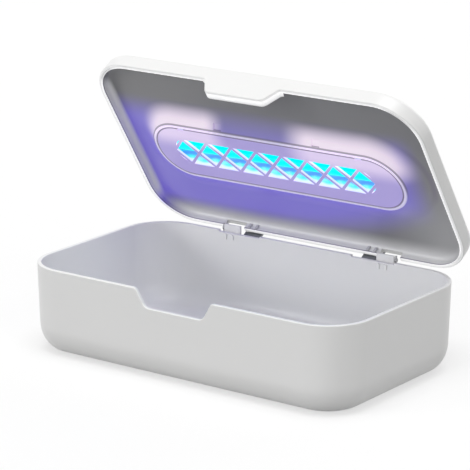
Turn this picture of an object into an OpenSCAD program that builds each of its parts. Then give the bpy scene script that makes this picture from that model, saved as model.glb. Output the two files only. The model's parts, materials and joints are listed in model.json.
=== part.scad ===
// Ultraviolet sanitizer box for phones: a tub, and a hinged lid that holds the lamp.
// Millimetres. The origin is the middle of the tub's flat underside, +X right, +Y to the hinges, +Z up.
// The lid's pieces are drawn shut, with heights counted from the lid's rim, and then swung open together.

/* [Box] */
// Width of the box at the rim
box_w = 230; // [210:1:280]
// Depth of the box at the rim
box_d = 133; // [120:1:170]
// Height of the tub's rim above its underside
tub_h = 53; // [46:1:90]
// Radius of the upright corners at the rim
corner_r = 28; // [22:1:34]
// Angle of the lid from shut, as it stands
lid_open = 57; // [0:1:100]

/* [Tub] */
// Thickness of the tub's walls and floor
tub_wall = 2.6; // [2.2:0.1:3]
// Lean of each side from the rim to the floor
tub_draft = 1.6; // [0.5:0.1:2.5]
// Height of the round under the sides
base_round_h = 17; // [13:0.5:20]
// Width of the round under the sides
base_round_w = 12; // [9:0.5:14]
// Width of the front notch at the rim, before its corners are rounded
notch_w = 54; // [50:1:64]
// Width of the front notch at its bottom, before its corners are rounded
notch_bottom_w = 41; // [34:1:44]
// Depth of the front notch
notch_depth = 10.8; // [9:0.1:12]
// Radius of the notch's bottom corners
notch_low_r = 5; // [3:0.5:6]
// Radius of the notch's top corners
notch_top_r = 3; // [2:0.5:4]

/* [Feet] */
// Diameter of each foot
foot_d = 12; // [8:0.5:14]
// Height of a foot below the tub's underside
foot_proud = 0.8; // [0.5:0.1:1.2]
// Depth of the recess that holds a foot
foot_recess = 1; // [0.6:0.1:1.2]
// Distance of a foot's centre from the box's sides
foot_inset = 24; // [23:0.5:30]

/* [Lid] */
// Height of the lid above its rim
lid_h = 11.2; // [11:0.1:13]
// Height of the round on the lid's top edge
lid_round_h = 3.7; // [3:0.1:3.8]
// Width of the round on the lid's top edge
lid_round_w = 4.2; // [3:0.1:5]
// Thickness of the lid cover
cover_wall = 1.6; // [1.4:0.1:1.7]
// Thickness of the liner's lip and ceiling
liner_wall = 1.1; // [1:0.1:1.2]
// Depth of the dish under the lid
dish_h = 6; // [5.6:0.1:6.2]
// Radius between the dish's lip and its ceiling
dish_round = 3.6; // [2.5:0.1:4]
// Depth of the tongue behind the lid cover
tongue_t = 5.6; // [5:0.1:7]

/* [Lamp pod] */
// Length of the lamp cover
lamp_cover_l = 175; // [165:1:180]
// Width of the lamp cover
lamp_cover_w = 38.6; // [37:0.2:40]
// Thickness of the lamp cover
lamp_cover_t = 1.5; // [1.2:0.1:1.8]
// Distance that the lamp cover stands below the rim
lamp_drop = 0.8; // [0.4:0.1:1.2]
// Width of the pod's edge round the lamp cover
pod_edge = 1.8; // [1.4:0.1:2.4]
// Width of the pod where it meets the dish
pod_w = 74; // [70:1:80]
// Length of the lamp window
window_l = 143; // [120:1:146]
// Width of the lamp window
window_w = 20; // [15:0.5:21]
// Distance of the window's middle from the lamp cover's middle
window_x = -2.4; // [-4:0.2:0]
// Number of crossings along the window
lattice_n = 7; // [5:1:9]
// Width of a lattice bar
bar_w = 1.9; // [1.2:0.1:2.4]

/* [Lamp] */
// Diameter of the tube
tube_d = 6; // [4:0.5:6.5]
// Distance of each end of the tube from the end of the lamp cover
tube_inset = 9.5; // [8.5:0.5:17]
// Radius of the reflector's trough
trough_r = 11.4; // [11:0.1:12]
// Thickness of the reflector
reflector_t = 0.5; // [0.4:0.1:0.6]

/* [Hinges] */
// Distance of a hinge's middle from the box's middle
hinge_x = 49.8; // [44:0.1:54]
// Radius of the hinge pin
pin_r = 0.9; // [0.7:0.05:1]
// Outside radius of the knuckles
knuckle_r = 1.6; // [1.4:0.05:1.7]
// Length of the long knuckle on the tub
barrel_l = 12.3; // [10:0.1:14]
// Length of the knuckle on the lid
leaf_l = 12.3; // [10:0.1:13]
// Distance from the rim down to the hinge axis
axis_drop = 5; // [4.5:0.1:6]
// Distance from the rear wall out to the hinge axis
axis_out = 1.8; // [1.8:0.1:2.4]

/* [Button] */
// Diameter of the power button
button_d = 14; // [10:0.5:18]
// Travel of the power button
button_travel = 0.4; // [0.2:0.05:0.5]
// Distance of the button from the lid's front edge
button_inset = 22; // [16:1:24]

/* [Fits] */
// Gap between the lid's rim and the tub's rim when shut
rim_gap = 0.3; // [0.1:0.05:0.5]
// Gap round the tongue in the notch
notch_gap = 0.5; // [0.3:0.1:0.8]
// Gap between parts that are fitted together
fit = 0.1; // [0.05:0.05:0.2]
// Gap between parts that move past each other
slide_gap = 0.3; // [0.2:0.05:0.4]
// Radial clearance of the hinge pins
pin_gap = 0.05; // [0.02:0.01:0.1]

/* [Hidden] */
$fn = 64;

white = [0.93, 0.93, 0.92];
lilac = [0.86, 0.82, 0.92];
steel = [0.5, 0.5, 0.52];
far = 400;             // longer than any part, for cuts that run right through
over = 1;              // how far a cut runs past the face that it opens
arc_steps = 12;        // straight steps in a drawn quarter round

axis_y = box_d / 2 + axis_out;
axis_z = tub_h - axis_drop;
rim_z = tub_h + rim_gap;                  // height of the lid's rim when shut
lid_top = lid_h - cover_wall;             // inside of the lid cover, above the rim
rim_band = cover_wall + fit + liner_wall; // width of the lid's rim
ceiling = dish_h + liner_wall;            // top of the liner's ceiling
clip_t = 1;                               // thickness of a hinge prong
clip_h = 3.2;                             // height of a hinge prong
clip_pitch = 4.6;                         // distance between a hinge half's two prongs
clip_barb = 0.6;                          // how far a prong stands past the wall
plate_t = 1.4;                            // thickness of the hinge plates
ear_l = 3;                                // length of the short knuckle on the tub
curl_l = 1.8;                             // room for the curled end of the pin
recess_h = 1;                             // depth of the hinge recess in the tub's rim
lid_recess_h = 4.3;                       // height of the hinge recess in the lid's rear wall
bracket_top = 8.3;                        // height of the bracket's arm above the axis

// Hinge stations along X, measured outward from the box's middle
leaf_x1 = hinge_x - slide_gap / 2;
leaf_x0 = leaf_x1 - leaf_l;
barrel_x0 = leaf_x1 + slide_gap;
barrel_x1 = barrel_x0 + barrel_l;
ear_x1 = leaf_x0 - slide_gap;
ear_x0 = ear_x1 - ear_l;
curl_x1 = barrel_x1 + curl_l;

// Quarter ellipse from the side (0, 0) to the flat (w, h), as [inset, rise]
function quarter(w, h) = [for (i = [0:arc_steps]) [w * (1 - cos(90 * i / arc_steps)), h * sin(90 * i / arc_steps)]];
function reversed(list) = [for (i = [len(list) - 1:-1:0]) list[i]];

// Side of the tub from the floor to the rim, as [inset, height]; wall moves it inward
function tub_lean(z) = tub_draft * (tub_h - z) / tub_h;
function tub_side(wall) =
    let (round_h = base_round_h - wall, round_w = base_round_w - wall, z0 = base_round_h)
    concat([for (p = reversed(quarter(round_w, round_h))) [tub_lean(z0) + wall + p[0], z0 - p[1]]],
           [[wall, tub_h]]);

// Outside of the lid from its rim to its top, as [inset, height]
lid_side = concat([[0, 0]], [for (p = quarter(lid_round_w, lid_round_h)) [p[0], lid_h - lid_round_h + p[1]]]);
lid_inside = concat([[cover_wall, -over]],
                    [for (p = quarter(lid_round_w - cover_wall, lid_round_h - cover_wall))
                        [cover_wall + p[0], lid_h - lid_round_h + p[1]]]);
dish_side = concat([[rim_band, -over]],
                   [for (p = quarter(dish_round, dish_round)) [rim_band + p[0], dish_h - dish_round + p[1]]]);

// Solid with a plan of straight sides and round corners, and the given side all round it
module rounded_block(w, d, r, side) {
    bottom = side[0][1];
    top = side[len(side) - 1][1];
    flat_w = w / 2 - r;    // straight half-length of the front and the rear
    flat_d = d / 2 - r;    // straight half-length of the two ends
    corner = concat([[0, bottom]], [for (p = side) [r - p[0], p[1]]], [[0, top]]);
    edge = concat([[-over, bottom]], [for (p = side) [r - p[0], p[1]]], [[-over, top]]);
    rotate([90, 0, 90]) linear_extrude(2 * flat_w, center = true)
        polygon([[-flat_d, bottom], [flat_d, bottom], [flat_d, top], [-flat_d, top]]);
    for (mx = [0, 1], my = [0, 1])
        mirror([mx, 0, 0]) mirror([0, my, 0]) translate([flat_w, flat_d, 0])
            rotate_extrude(angle = 90) polygon(corner);
    for (my = [0, 1]) mirror([0, my, 0]) translate([0, flat_d, 0])
        rotate([90, 0, 90]) linear_extrude(2 * flat_w, center = true) polygon(edge);
    for (mx = [0, 1]) mirror([mx, 0, 0]) translate([flat_w, 0, 0])
        rotate([90, 0, 0]) linear_extrude(2 * flat_d, center = true) polygon(edge);
}

// A section at a distance from the middle line, carried round a long oval of straight half-length half
module oval_sweep(half) {
    for (mx = [0, 1])
        mirror([mx, 0, 0]) translate([half, 0, 0]) rotate([0, 0, -90]) rotate_extrude(angle = 180) children();
    for (my = [0, 1])
        mirror([0, my, 0]) rotate([90, 0, 90]) linear_extrude(2 * half, center = true) children();
}

module oval(length, width) {
    for (s = [-1, 1]) translate([s * (length - width) / 2, 0]) circle(d = width);
    square([length - width, width], center = true);
}

module both_sides() {
    for (mx = [0, 1]) mirror([mx, 0, 0]) children();
}

module four_corners(x, y) {
    for (sx = [-1, 1], sy = [-1, 1]) translate([sx * x, sy * y, 0]) children();
}

// From the lid's own heights to the box, shut, and then swung open about the hinge
module on_lid() {
    translate([0, axis_y, axis_z]) rotate([-lid_open, 0, 0]) translate([0, -axis_y, rim_z - axis_z]) children();
}

// Outline of the notch below the rim: two slopes with a round at each end; shrink makes the tongue
function notch_outline(shrink, up) =
    let (top = notch_w / 2, low = notch_bottom_w / 2, slope = atan2(notch_depth, top - low),
         foot = [low - notch_low_r * tan(slope / 2), notch_low_r - notch_depth],
         head = [top - shrink / sin(slope) + notch_top_r * tan(slope / 2), -notch_top_r],
         turns = [for (i = [0:arc_steps]) slope * i / arc_steps],
         right = concat([for (a = turns) foot + (notch_low_r - shrink) * [sin(a), -cos(a)]],
                        [for (a = reversed(turns)) head + notch_top_r * [-sin(a), cos(a)]]))
    concat([[head[0], up]], reversed(right), [for (p = right) [-p[0], p[1]]], [[-head[0], up]]);

module along_y(y0, y1) {
    translate([0, y1, 0]) rotate([90, 0, 0]) linear_extrude(y1 - y0) children();
}

module along_x(x0, x1) {
    translate([x0, 0, 0]) rotate([90, 0, 90]) linear_extrude(x1 - x0) children();
}

module x_cylinder(x0, x1, r) {
    translate([x0, 0, 0]) rotate([0, 90, 0]) cylinder(h = x1 - x0, r = r);
}

// ---- Tub ----

magnet_d = 6;
magnet_t = 1.4;
magnet_z = tub_h - notch_depth - 6;
front_face = tub_lean(magnet_z) - box_d / 2;

// The two prongs of a hinge half at x, from y0 to y1, standing on height z, or with grow their slots
module prongs(x, z, y0, y1, grow) {
    for (s = [-1, 1]) {
        translate([x + s * clip_pitch / 2 - clip_t / 2 - grow, y0, z - grow])
            cube([clip_t + 2 * grow, y1 - y0, clip_h + 2 * grow]);
        if (grow == 0) translate([x + s * (clip_pitch + clip_barb) / 2 - (clip_t + clip_barb) / 2, y0, z])
            cube([clip_t + clip_barb, clip_barb - fit, clip_h]);
    }
}

bracket_clip_x = (barrel_x0 + barrel_x1) / 2;
leaf_clip_x = (leaf_x0 + leaf_x1) / 2;
bracket_clip_z = tub_h - recess_h - clip_h - 0.9;
leaf_clip_z = 0.8;

module tub_shell() color(white) {
    difference() {
        rounded_block(box_w, box_d, corner_r, tub_side(0));
        rounded_block(box_w, box_d, corner_r, concat(tub_side(tub_wall), [[tub_wall, tub_h + over]]));
        translate([0, 0, tub_h]) along_y(-box_d / 2 - over, -box_d / 2 + 2 * tub_wall)
            polygon(notch_outline(0, over));
        translate([0, 0, -over]) four_corners(box_w / 2 - foot_inset, box_d / 2 - foot_inset)
            cylinder(h = over + foot_recess, d = foot_d + 2 * fit);
        translate([0, front_face + tub_wall - magnet_t, magnet_z])
            rotate([-90, 0, 0]) cylinder(h = magnet_t + over, d = magnet_d + 2 * fit);
        both_sides() {
            translate([ear_x0 - slide_gap, box_d / 2 - 2 * tub_wall, tub_h - recess_h])
                cube([curl_x1 - ear_x0 + 2 * slide_gap, 3 * tub_wall, recess_h + over]);
            prongs(bracket_clip_x, bracket_clip_z, box_d / 2 - 2 * tub_wall, box_d / 2 + over, fit);
        }
    }
}

module tub_feet() color([0.75, 0.75, 0.75])
    translate([0, 0, -foot_proud]) four_corners(box_w / 2 - foot_inset, box_d / 2 - foot_inset)
        cylinder(h = foot_proud + foot_recess, d = foot_d);

module interlock_magnet() color(steel)
    translate([0, front_face + tub_wall - magnet_t, magnet_z]) rotate([-90, 0, 0])
        cylinder(h = magnet_t, d = magnet_d);

// ---- Hinges ----

// Plate on the rear wall with two knuckles, two prongs and an arm that stands behind the rim
module hinge_bracket() {
    wall_y = box_d / 2;
    plate_y = axis_y - plate_t;
    plate_low = axis_z - 7;
    plate_high = axis_z - knuckle_r - slide_gap;
    difference() {
        union() {
            for (span = [[ear_x0, ear_x1], [barrel_x0, barrel_x1]]) {
                translate([0, axis_y, axis_z]) x_cylinder(span[0], span[1], knuckle_r);
                translate([span[0], plate_y, plate_low]) cube([span[1] - span[0], plate_t, axis_z - plate_low]);
            }
            along_x(ear_x0, barrel_x1)
                polygon([[wall_y - tub_lean(plate_low), plate_low], [axis_y, plate_low],
                         [axis_y, plate_high], [wall_y - tub_lean(plate_high), plate_high]]);
            translate([barrel_x0, plate_y, axis_z]) cube([barrel_x1 - barrel_x0, plate_t, bracket_top]);
            prongs(bracket_clip_x, bracket_clip_z, wall_y - tub_wall - clip_barb - 2 * fit,
                   plate_y + plate_t / 2, 0);
        }
        translate([0, axis_y, axis_z]) x_cylinder(ear_x0 - over, barrel_x1 + over, pin_r);
    }
}

// Steel pin whose outer end stands up and ends in a curl
module hinge_pin() {
    wire_r = 0.6;
    curl_r = 1.5;
    curl_x = barrel_x1 + curl_l / 2;
    curl_z = axis_drop + 0.6;
    translate([0, axis_y, axis_z]) {
        x_cylinder(ear_x0, curl_x + pin_r, pin_r);
        translate([curl_x, 0, 0]) cylinder(h = curl_z - curl_r + wire_r, r = wire_r);
        translate([curl_x, 0, curl_z]) rotate([0, 90, 0])
            rotate_extrude() translate([curl_r - wire_r, 0]) circle(r = wire_r);
        translate([curl_x, 0, curl_z + curl_r - wire_r])
            cylinder(h = bracket_top - curl_z - curl_r + wire_r, r = wire_r);
    }
}

// Grey plate on the lid's rear wall with one knuckle and two prongs
module hinge_leaf() {
    plate_y = axis_y - plate_t;
    drop = axis_z - rim_z;
    pad_z = 0.4;
    plate_top = 6.5;
    difference() {
        union() {
            translate([0, axis_y, drop]) x_cylinder(leaf_x0, leaf_x1, knuckle_r);
            translate([leaf_x0, plate_y, drop]) cube([leaf_l, plate_t, plate_top - drop]);
            translate([leaf_x0, box_d / 2, pad_z]) cube([leaf_l, axis_out - plate_t / 2, plate_top - pad_z]);
            prongs(leaf_clip_x, leaf_clip_z, box_d / 2 - rim_band - clip_barb - 4 * fit, axis_y - plate_t / 2, 0);
        }
        translate([0, axis_y, drop]) x_cylinder(leaf_x0 - over, leaf_x1 + over, pin_r + pin_gap);
    }
}

module hinge_bracket_right() color(white) hinge_bracket();
module hinge_bracket_left() color(white) mirror([1, 0, 0]) hinge_bracket();
module hinge_pin_right() color(steel) hinge_pin();
module hinge_pin_left() color(steel) mirror([1, 0, 0]) hinge_pin();
module hinge_leaf_right() color(steel) on_lid() hinge_leaf();
module hinge_leaf_left() color(steel) on_lid() mirror([1, 0, 0]) hinge_leaf();

// ---- Lid shells ----

pod_half = (lamp_cover_l - lamp_cover_w) / 2;   // straight half-length of the pod
seat_r = lamp_cover_w / 2 + fit;                // recess that takes the lamp cover
ledge_w = 1.6;
ledge_t = 1.4;
ledge_h = lamp_cover_t - lamp_drop;             // face that the lamp cover lies on
pod_r0 = seat_r + pod_edge;
pod_r1 = pod_w / 2;
button_y = button_inset - box_d / 2;
light_x = button_d / 2 + 7;
light_d = 2.6;
socket_w = 7.6;
socket_h = lid_top - ceiling - 2 * fit;
socket_inset = 1;
socket_l = 6.4;
socket_z = (lid_top + ceiling) / 2;
screw_x = pod_half + 7.3;
screw_y = 14.3;
screw_r = 1.2;
boss_r = 2.6;
end_plate_x = pod_half + 2.3;
end_plate_y = 11.7;
pocket = [5.6, 4.3, 0.7];                       // shallow pockets in the pod's skirt
pocket_x = 35.2;
pocket_y = 24.1;
mark = [6.8, 2, 0.3];                           // shallow slot over the sensor in the tongue's end
mark_x = -3.2;
plate_r = seat_r - ledge_w / 2;
rest_x = 50;                                    // where the reflector's tabs are held
rest_y = seat_r - 1.4;
rest_r = 1.4;
sensor = [16, 2.2, 4.4];
sensor_z = -notch_depth + 2.6;
sensor_lead_x = 5;
sensor_lead_y = cover_wall + fit + 1.1 - box_d / 2;

// Slope of the pod from its edge (t = 0) out to the dish (t = 1)
function pod_height(t) = -lamp_drop + (dish_h + lamp_drop) * (1 - pow(1 - t, 1.8));
function pod_angle(r) =
    let (t = (r - pod_r0) / (pod_r1 - pod_r0), d = 0.05)
    atan((pod_height(t + d) - pod_height(t - d)) / (2 * d * (pod_r1 - pod_r0)));
function pod_slope(t0, rise) =
    [for (i = [0:arc_steps]) let (t = t0 + (1 - t0) * i / arc_steps) [pod_r0 + (pod_r1 - pod_r0) * t,
                                                                     pod_height(t) + rise]];

module pod_section() {
    edge = 0.5;
    inner_start = 0.22;
    polygon(concat([[seat_r, -lamp_drop], [pod_r0 - edge, -lamp_drop]], pod_slope(0.06, 0),
                   reversed(pod_slope(inner_start, liner_wall)),
                   [[seat_r + 0.1, ledge_h + ledge_t], [seat_r - ledge_w, ledge_h + ledge_t],
                    [seat_r - ledge_w, ledge_h], [seat_r, ledge_h]]));
}

module lid_cover() color(white) on_lid() {
    difference() {
        union() {
            difference() {
                rounded_block(box_w, box_d, corner_r, lid_side);
                rounded_block(box_w, box_d, corner_r, lid_inside);
            }
            along_y(-box_d / 2, -box_d / 2 + cover_wall) polygon(notch_outline(notch_gap, over));
            translate([0, 0, ledge_h + ledge_t]) four_corners(screw_x, screw_y)
                cylinder(h = lid_top - ledge_h - ledge_t + cover_wall / 2, r = boss_r);
            translate([0, 0, ledge_h + ledge_t + reflector_t]) four_corners(rest_x, rest_y)
                cylinder(h = lid_top - ledge_h - ledge_t - reflector_t + cover_wall / 2, r = rest_r);
        }
        translate([0, 0, ledge_h]) four_corners(screw_x, screw_y) cylinder(h = 6.5, r = screw_r);
        translate([0, button_y, lid_top - over]) cylinder(h = 2 * over + cover_wall, d = button_d + 2 * slide_gap);
        translate([light_x, button_y, lid_top - over]) cylinder(h = 2 * over + cover_wall, d = light_d + 2 * fit);
        translate([-socket_w / 2 - fit, box_d / 2 - 3 * cover_wall, socket_z - socket_h / 2 - fit])
            cube([socket_w + 2 * fit, 4 * cover_wall, socket_h + 2 * fit]);
        both_sides() hinge_cuts();
    }
}

// Recess for the tub's half of a hinge, and slots for the leaf's prongs
module hinge_cuts() {
    translate([barrel_x0 - slide_gap, box_d / 2 - 2 * rim_band, -over])
        cube([curl_x1 - barrel_x0 + 2 * slide_gap, 3 * rim_band, lid_recess_h + over]);
    prongs(leaf_clip_x, leaf_clip_z, box_d / 2 - 2 * rim_band, box_d / 2 + over, fit);
}

module lid_liner() color(white) on_lid() {
    liner_in = cover_wall + fit;
    difference() {
        union() {
            difference() {
                rounded_block(box_w, box_d, corner_r, [[liner_in, 0], [liner_in, ceiling]]);
                rounded_block(box_w, box_d, corner_r, dish_side);
                translate([0, 0, dish_h - over]) linear_extrude(2 * over + liner_wall)
                    oval(2 * (pod_half + pod_r1), 2 * pod_r1);
            }
            oval_sweep(pod_half) pod_section();
            along_y(liner_in - box_d / 2, tongue_t - box_d / 2) polygon(notch_outline(notch_gap, ceiling));
            both_sides() intersection() {
                translate([0, 0, ledge_h]) linear_extrude(ledge_t) oval(2 * (pod_half + plate_r), 2 * plate_r);
                for (my = [0, 1]) mirror([0, my, 0]) translate([end_plate_x, end_plate_y, 0]) cube([far, far, far]);
            }
        }
        for (sx = [-1, 1])
            translate([sx * pocket_x, -pocket_y, pod_height((pocket_y - pod_r0) / (pod_r1 - pod_r0))])
                rotate([-pod_angle(pocket_y), 0, 0]) translate([-pocket[0] / 2, -pocket[1] / 2, -far])
                    cube([pocket[0], pocket[1], far + pocket[2]]);
        translate([mark_x - mark[0] / 2, liner_in - box_d / 2 + fit, -notch_depth + notch_gap - over])
            cube([mark[0], mark[1], over + mark[2]]);
        translate([0, 0, ledge_h - over]) four_corners(screw_x, screw_y)
            cylinder(h = ledge_t + 2 * over, r = screw_r + fit);
        translate([0, 0, ledge_h]) four_corners(screw_x, screw_y)
            cylinder(h = 1, r1 = 2.3 + fit, r2 = screw_r + fit);
        translate([-sensor[0] / 2 - fit, liner_in - box_d / 2 - over, sensor_z - fit])
            cube([sensor[0] + 2 * fit, sensor[1] + over + fit, sensor[2] + 2 * fit]);
        translate([sensor_lead_x, sensor_lead_y, sensor_z]) cylinder(h = far, r = 0.6);
        both_sides() hinge_cuts();
    }
}

// ---- Lamp ----

trough_h = lid_top - 1.2 - reflector_t;       // highest point of the trough
trough_z = trough_h - trough_r;
tube_z = 4.6;
tube_l = lamp_cover_l - 2 * tube_inset;
pin_l = 3;
holder_l = 4;
holder_x0 = tube_l / 2 - 2;
trough_half = tube_l / 2 + pin_l + 0.4;

module lamp_cover() color(lilac) on_lid() {
    hook_x = 35.2;
    hook_t = 1.2;
    hook_y = seat_r - ledge_w - fit - hook_t;
    pry_x = 63.7;
    pitch = window_l / (lattice_n + 0.85);
    difference() {
        translate([0, 0, -lamp_drop]) linear_extrude(lamp_cover_t) {
            difference() {
                oval(lamp_cover_l, lamp_cover_w);
                translate([window_x, 0]) oval(window_l, window_w);
                for (s = [-1, 1]) translate([s * pry_x, 0.7 - lamp_cover_w / 2]) square([4.6, 1.8], center = true);
            }
            translate([window_x, 0]) intersection() {
                oval(window_l + 1, window_w + 1);
                for (i = [0:lattice_n + 1], s = [-1, 1])
                    translate([(i - (lattice_n + 1) / 2) * pitch, 0]) rotate(s * atan(pitch / window_w))
                        square([bar_w, 2.2 * window_w], center = true);
            }
        }
    }
    for (sx = [-1, 1], my = [0, 1]) mirror([0, my, 0]) translate([sx * hook_x - 2.5, hook_y, 0]) {
        translate([0, 0, ledge_h - 0.5]) cube([5, hook_t, ledge_t + 1.8]);
        translate([0, 0, ledge_h + ledge_t + fit]) cube([5, hook_t + 0.9, 1]);
    }
}

module trough_arc(r) {
    intersection() {
        translate([0, trough_z]) circle(r = r);
        translate([-far / 2, ledge_h]) square([far, far]);
    }
}

module reflector() color([0.8, 0.82, 0.85]) on_lid() {
    tab_h = ledge_h + ledge_t;
    tab_y = sqrt(pow(trough_r, 2) - pow(tab_h - trough_z, 2)) + 0.1;
    along_x(-trough_half, trough_half) difference() {
        trough_arc(trough_r + reflector_t);
        trough_arc(trough_r);
    }
    for (sx = [-1, 1], my = [0, 1])
        mirror([0, my, 0]) translate([sx * rest_x - 4, tab_y, tab_h]) cube([8, seat_r - 0.2 - tab_y, reflector_t]);
}

module lamp_tube() color([0.6, 0.95, 1]) on_lid() translate([0, 0, tube_z]) {
    half = tube_l / 2;
    rotate([0, 90, 0]) rotate_extrude()
        polygon([[0, -half], [tube_d / 2 - 1, -half], [tube_d / 2, 1 - half],
                 [tube_d / 2, half - 1], [tube_d / 2 - 1, half], [0, half]]);
    both_sides() x_cylinder(half - 0.5, half + pin_l, 0.4);
}

module lamp_holder() on_lid() difference() {
    along_x(holder_x0, holder_x0 + holder_l) intersection() {
        trough_arc(trough_r - fit);
        translate([-7, ledge_h + 0.2]) square([14, far]);
    }
    translate([0, 0, tube_z]) x_cylinder(holder_x0 - over, tube_l / 2 + fit, tube_d / 2 + fit);
    translate([0, 0, tube_z]) x_cylinder(holder_x0, holder_x0 + holder_l + over, 0.6);
}

module lamp_holder_right() color(white) lamp_holder();
module lamp_holder_left() color(white) mirror([1, 0, 0]) lamp_holder();

// ---- Power and control, inside the lid ----

board_t = 0.8;
board_top = lid_top - 0.8;
board_x = [-32, 28];
board_y = [14, 27];

module driver_board() color([0.1, 0.4, 0.25]) on_lid() {
    translate([board_x[0], board_y[0], board_top - board_t])
        cube([board_x[1] - board_x[0], board_y[1] - board_y[0], board_t]);
    for (x = [board_x[0] + 3, board_x[1] - 3], y = [board_y[0] + 2.5, board_y[1] - 2.5])
        translate([x, y, board_top]) cylinder(h = lid_top - board_top, r = 1.5);
    translate([board_x[0] + 8, board_y[0] + 6.5, board_top - board_t - 2.4]) cylinder(h = 2.4, r = 2.5);
    translate([board_x[0] + 14, board_y[0] + 4, board_top - board_t - 1.2]) cube([6, 5, 1.2]);
    for (i = [0:3]) translate([board_x[0] + 23 + 2.4 * i, board_y[0] + 5, board_top - board_t - 0.8])
        cube([1.2, 2, 0.8]);
}

module step_up_transformer() color([0.85, 0.8, 0.3]) on_lid()
    translate([board_x[1] - 20, board_y[0] + 2, board_top - board_t - 3]) {
        cube([14, 9, 3]);
        translate([3, -0.8, 0.6]) cube([8, 10.6, 1.8]);
    }

battery = [60, 12.5, 4];
battery_y = -27;

module battery_cell() color([0.75, 0.78, 0.8]) on_lid()
    translate([-battery[0] / 2, battery_y, lid_top - battery[2]]) cube(battery);

module charge_board() color([0.1, 0.4, 0.25]) on_lid() {
    back = box_d / 2 - cover_wall - fit;
    difference() {
        translate([-9, back - 14, ceiling]) cube([18, 13.5, board_t]);
        translate([-socket_w / 2 - fit, box_d / 2 - socket_inset - socket_l - fit, ceiling - over])
            cube([socket_w + 2 * fit, socket_l, 3]);
    }
    translate([-6, back - 12, ceiling + board_t - 0.1]) cube([5, 4, 1.2]);
}

module charge_socket() color(steel) on_lid() {
    back = box_d / 2 - socket_inset;
    translate([0, 0, socket_z]) difference() {
        translate([-socket_w / 2, back - socket_l, -socket_h / 2]) cube([socket_w, socket_l, socket_h]);
        translate([-socket_w / 2 + 0.35, back - 5.4, -socket_h / 2 + 0.35])
            cube([socket_w - 0.7, 5.4 + over, socket_h - 0.7]);
    }
    translate([-2.4, back - 5.6, socket_z - 0.3]) cube([4.8, 4.4, 0.6]);
}

switch_top = lid_top - 1.1;
switch_w = 5.2;
switch_board_w = 16;
switch_board_t = 0.6;
lap = 0.1;             // how far one block of a part runs into the next

module button_switch() color([0.15, 0.15, 0.16]) on_lid() translate([0, button_y, ceiling]) {
    rise = switch_board_t - lap;
    translate([-switch_board_w / 2, -switch_board_w / 2, 0])
        cube([light_x + 0.75 * switch_board_w, switch_board_w, switch_board_t]);
    translate([-switch_w / 2, -switch_w / 2, rise]) cube([switch_w, switch_w, switch_top - ceiling - switch_board_t]);
    translate([0, 0, rise]) cylinder(h = switch_top - ceiling - rise, r = 1.2);
    translate([light_x - 1, -0.6, rise]) cube([2, 1.2, 0.6]);
}

module status_light() color([0.8, 0.9, 1]) on_lid()
    translate([light_x, button_y, ceiling + 1.2]) {
        cylinder(h = lid_h - ceiling - 1.2, d = light_d);
        cylinder(h = lid_top - ceiling - 1.2 - fit, d = light_d + 1.6);
    }

module power_button() color(white) on_lid() translate([0, button_y, 0]) {
    flange_t = 0.5;
    crown = 0.6;
    difference() {
        union() {
            translate([0, 0, lid_top - flange_t - fit]) cylinder(h = flange_t, d = button_d + 3);
            translate([0, 0, lid_top - flange_t - fit])
                cylinder(h = lid_h + crown - lid_top + flange_t + fit, d = button_d);
        }
        translate([0, 0, lid_h + crown + 39.6]) sphere(r = 40, $fn = 128);
    }
}

module interlock_sensor() color([0.15, 0.15, 0.16]) on_lid()
    translate([-sensor[0] / 2, cover_wall + fit - box_d / 2, sensor_z]) cube(sensor);

module liner_screws() color(steel) on_lid() translate([0, 0, ledge_h + 0.05]) four_corners(screw_x, screw_y) {
    cylinder(h = 1, r1 = 2.3, r2 = screw_r);
    cylinder(h = 6, r = screw_r);
}

// A lead of round wire swept through a list of points, with each bend rounded in three steps
function unit(v) = v / norm(v);
function bent(p) = concat([p[0]], [for (i = [1:len(p) - 2])
    let (back = p[i - 1] - p[i], on = p[i + 1] - p[i], d = min(1.2, 0.4 * norm(back), 0.4 * norm(on)),
         a = p[i] + d * unit(back), b = p[i] + d * unit(on))
    each [a, (a + 2 * p[i] + b) / 4, b]], [p[len(p) - 1]]);
function heading(p, i) = unit(unit(p[min(i + 1, len(p) - 1)] - p[min(i, len(p) - 2)]) +
                              unit(p[max(i, 1)] - p[max(i, 1) - 1]));
function carried(t, u) = unit(u - (u * t) * t);
function rings(p, r, sides, i, u) = i == len(p) ? [] :
    let (t = heading(p, i), v = carried(t, u), w = cross(t, v))
    concat([for (k = [0:sides - 1]) p[i] + r * (cos(360 * k / sides) * v + sin(360 * k / sides) * w)],
           rings(p, r, sides, i + 1, v));

module lead(points) {
    wire_r = 0.35;
    sides = 8;
    path = bent(points);
    last = len(path) - 1;
    polyhedron(rings(path, wire_r, sides, 0, unit([1, 2, 3])),
        concat([[for (k = [0:sides - 1]) k], [for (k = [sides - 1:-1:0]) last * sides + k]],
               [for (i = [0:last - 1], k = [0:sides - 1]) let (a = i * sides, b = a + sides, n = (k + 1) % sides)
                    each [[a + k, b + k, b + n], [a + k, b + n, a + n]]]));
}

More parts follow.
